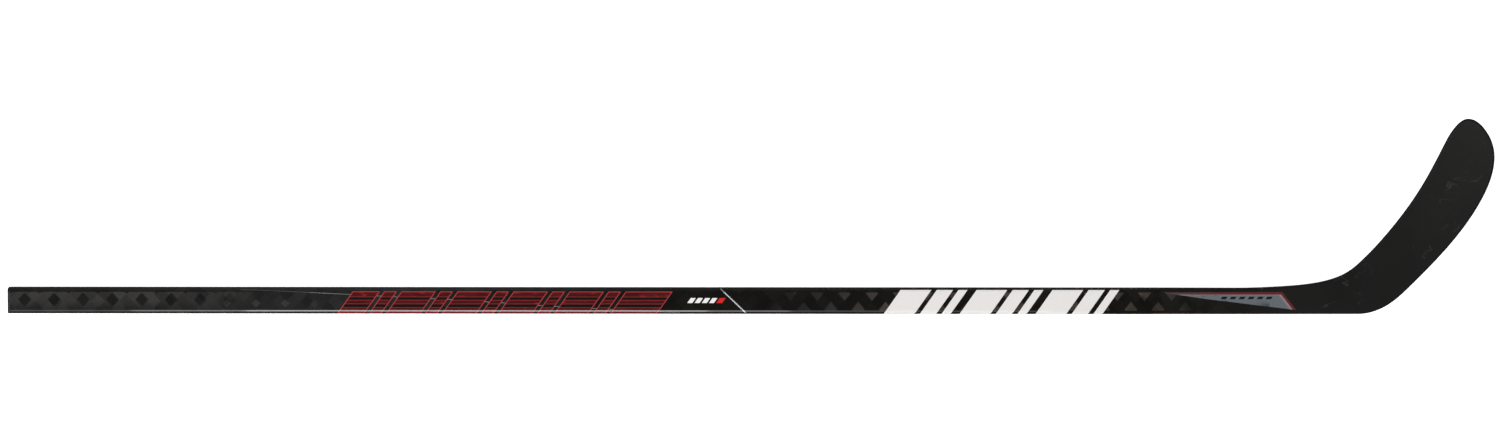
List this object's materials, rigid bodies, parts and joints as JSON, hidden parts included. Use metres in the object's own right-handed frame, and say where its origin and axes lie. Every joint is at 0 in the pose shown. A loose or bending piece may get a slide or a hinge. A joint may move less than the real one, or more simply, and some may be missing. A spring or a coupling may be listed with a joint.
{
  "type": "ice hockey stick",
  "caption": "Left-handed composite ice hockey stick: hollow tapered carbon shaft, bonded hosel and foam-cored curved blade.",
  "frame": {"origin": "centre of the butt end face, at mid-width and mid-thickness of the shaft; the stick lies on the wide back face of its shaft", "axes": "+X along the shaft from the butt to the blade, +Y across the shaft towards the blade's toe side, +Z out of the forehand face"},
  "size_m": [1.6431, 0.2194, 0.0366],
  "materials": {
    "butt_plug": "moulded black plastic, satin",
    "plug_glue": "cured epoxy",
    "bias_ply": "carbon fibre in epoxy, fibres on the bias",
    "shaft_laminate": "unidirectional carbon fibre in epoxy",
    "outer_weave": "spread-tow carbon weave under gloss clear coat",
    "joint_wrap": "carbon wrap under gloss clear coat",
    "tenon_glue": "cured epoxy",
    "tenon_spar": "carbon fibre in epoxy",
    "spar_foam": "rigid structural foam",
    "forehand_skin": "satin black carbon skin",
    "backhand_skin": "satin black carbon skin",
    "sole_edge": "satin black carbon strip",
    "top_edge": "satin black carbon strip",
    "toe_edge": "satin black carbon strip",
    "heel_core": "rigid structural foam",
    "core_upper": "rigid structural foam",
    "core_lower": "rigid structural foam",
    "core_bridge": "carbon fibre in epoxy",
    "outline_bars": "red ink under clear coat",
    "bar_fills": "dark red translucent ink under clear coat",
    "pinstripe": "silver ink under clear coat",
    "slash_line": "silver ink under clear coat",
    "white_dashes": "white ink under clear coat",
    "red_dash": "red ink under clear coat",
    "white_stripes": "off-white ink under clear coat",
    "wedge_border": "red ink under clear coat",
    "wedge_field": "grey ink under clear coat",
    "wedge_marks": "dark ink under clear coat",
    "side_stripe": "red ink under clear coat"
  },
  "bodies": {
    "root": {"butt_plug": "butt_plug", "plug_glue": "plug_glue", "bias_ply": "bias_ply", "shaft_laminate": "shaft_laminate", "outer_weave": "outer_weave", "joint_wrap": "joint_wrap", "tenon_glue": "tenon_glue", "tenon_spar": "tenon_spar", "spar_foam": "spar_foam", "forehand_skin": "forehand_skin", "backhand_skin": "backhand_skin", "sole_edge": "sole_edge", "top_edge": "top_edge", "toe_edge": "toe_edge", "heel_core": "heel_core", "core_upper": "core_upper", "core_lower": "core_lower", "core_bridge": "core_bridge", "outline_bars": "outline_bars", "bar_fills": "bar_fills", "pinstripe": "pinstripe", "slash_line": "slash_line", "white_dashes": "white_dashes", "red_dash": "red_dash", "white_stripes": "white_stripes", "wedge_border": "wedge_border", "wedge_field": "wedge_field", "wedge_marks": "wedge_marks", "side_stripe": "side_stripe"}
  },
  "joints": []
}
